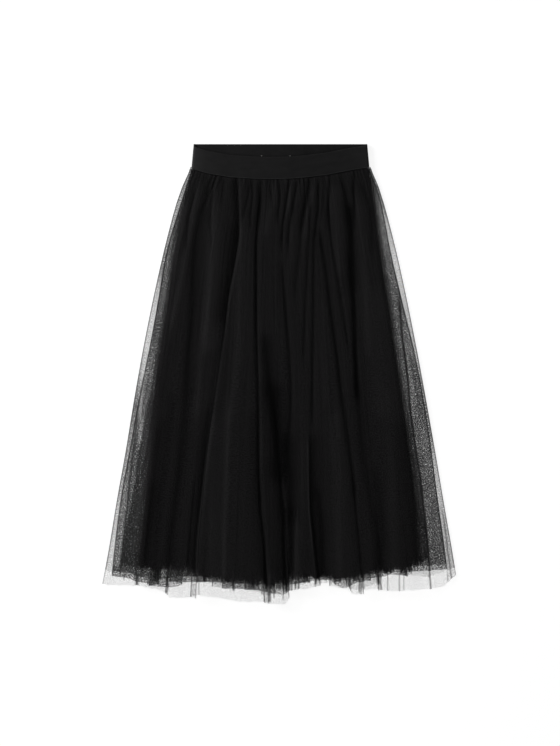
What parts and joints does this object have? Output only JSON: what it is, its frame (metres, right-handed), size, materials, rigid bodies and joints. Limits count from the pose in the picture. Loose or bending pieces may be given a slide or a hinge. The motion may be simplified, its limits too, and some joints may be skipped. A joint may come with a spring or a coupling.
{
  "type": "tulle skirt",
  "caption": "Flat-lying midi skirt of gathered sheer tulle over a dark lining, with a wide elastic waistband.",
  "frame": {"origin": "middle of the skirt's outline, on the surface that it lies on", "axes": "+X towards the picture's right, +Y up the skirt towards the waistband, +Z out of the front"},
  "size_m": [0.6179, 0.803, 0.0175],
  "materials": {
    "elastic": "matte ribbed elastic",
    "tulle": "sheer fine net",
    "lining": "matte close-knit lining"
  },
  "bodies": {
    "root": {"waistband": "elastic", "tulle_outer_front": "tulle", "tulle_outer_back": "tulle", "tulle_inner_front": "tulle", "tulle_inner_back": "tulle", "lining_front": "lining", "lining_back": "lining"}
  },
  "joints": []
}
